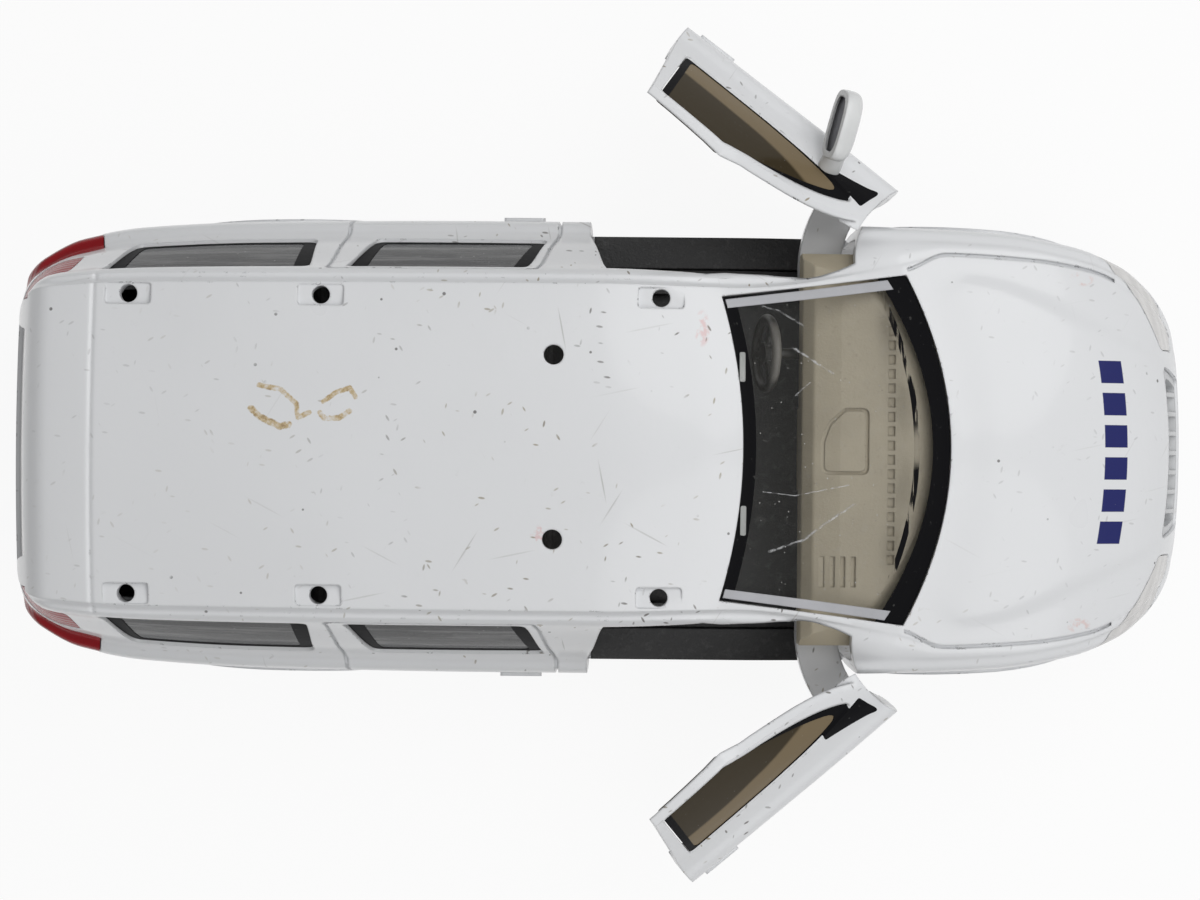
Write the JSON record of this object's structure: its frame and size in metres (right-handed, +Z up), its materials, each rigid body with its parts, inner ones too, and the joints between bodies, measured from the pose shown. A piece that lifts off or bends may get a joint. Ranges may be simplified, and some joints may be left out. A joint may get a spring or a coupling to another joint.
{
  "type": "toy police car",
  "caption": "Die-cast toy police estate car with two hinged front doors, a moulded cabin, free-turning wheels and a pull-back motor; roof drilled for a light bar and rails.",
  "frame": {"origin": "on the ground under the middle of the box that holds the car with its doors open as pictured", "axes": "+X towards the bonnet, +Y to the car's left, +Z up through the roof"},
  "size_m": [0.1274, 0.0911, 0.0452],
  "materials": {
    "paint": "worn white gloss enamel on a zinc casting",
    "clear_glass": "clear moulded plastic window, cracked",
    "grey_glass": "grey tinted plastic window",
    "brown_glass": "smoked brown plastic window",
    "lamp_lens": "pale translucent lens",
    "red_lens": "red translucent lens",
    "dark_plastic": "dark grey moulding",
    "black_plastic": "black moulding",
    "tan_plastic": "tan moulding",
    "brown_plastic": "brown moulding",
    "seat_plastic": "dark moulding",
    "grey_plastic": "grey moulding",
    "white_plastic": "white moulding",
    "mirror_foil": "bright foil",
    "steel": "bright drawn wire",
    "hub_plastic": "silver painted plastic",
    "tyre_rubber": "black soft plastic",
    "brass": "turned and cut",
    "ivory_plastic": "natural moulding",
    "case_plastic": "dark moulding"
  },
  "bodies": {
    "car": {"body_shell": "paint", "windscreen": "clear_glass", "rear_glass": "grey_glass", "left_side_glass": "grey_glass", "right_side_glass": "grey_glass", "left_headlamp": "lamp_lens", "right_headlamp": "lamp_lens", "left_tail_lamp": "red_lens", "right_tail_lamp": "red_lens", "grille": "dark_plastic", "chassis": "black_plastic", "base_screws": "steel", "interior_tub": "dark_plastic", "dashboard": "tan_plastic", "steering_wheel": "grey_plastic", "left_front_seat": "seat_plastic", "right_front_seat": "seat_plastic", "rear_bench": "seat_plastic", "motor_case_left": "case_plastic", "motor_case_right": "case_plastic"},
    "left_door": {"left_door_panel": "paint", "left_door_card": "brown_plastic", "left_door_glass": "brown_glass", "left_mirror": "white_plastic", "left_mirror_glass": "mirror_foil"},
    "right_door": {"right_door_panel": "paint", "right_door_card": "brown_plastic", "right_door_glass": "brown_glass"},
    "front_wheelset": {"front_axle": "steel", "front_left_hub": "hub_plastic", "front_left_tyre": "tyre_rubber", "front_right_hub": "hub_plastic", "front_right_tyre": "tyre_rubber"},
    "rear_wheelset": {"rear_axle": "steel", "rear_left_hub": "hub_plastic", "rear_left_tyre": "tyre_rubber", "rear_right_hub": "hub_plastic", "rear_right_tyre": "tyre_rubber", "drive_pinion": "brass"},
    "spring_barrel": {"spring_barrel": "ivory_plastic", "mainspring": "steel"}
  },
  "joints": [
    {"name": "left_door_hinge", "type": "hinge", "parent": "car", "child": "left_door", "pos_m": [0.035, 0.0195, 0.022], "axis": [0, 0, -1], "range_deg": [-37, 10]},
    {"name": "right_door_hinge", "type": "hinge", "parent": "car", "child": "right_door", "pos_m": [0.035, -0.0195, 0.022], "axis": [0, 0, 1], "range_deg": [-40, 7]},
    {"name": "front_axle_spin", "type": "hinge", "parent": "car", "child": "front_wheelset", "pos_m": [0.041, 0, 0.0095], "axis": [0, 1, 0], "continuous": true},
    {"name": "rear_axle_spin", "type": "hinge", "parent": "car", "child": "rear_wheelset", "pos_m": [-0.0345, 0, 0.0095], "axis": [0, 1, 0], "continuous": true},
    {"name": "spring_barrel_spin", "type": "hinge", "parent": "car", "child": "spring_barrel", "pos_m": [-0.02687, 0, 0.01057], "axis": [0, 1, 0], "continuous": true}
  ],
  "couplings": [
    {"joint": "spring_barrel_spin", "follows": "rear_axle_spin", "ratio": -0.57143}
  ]
}
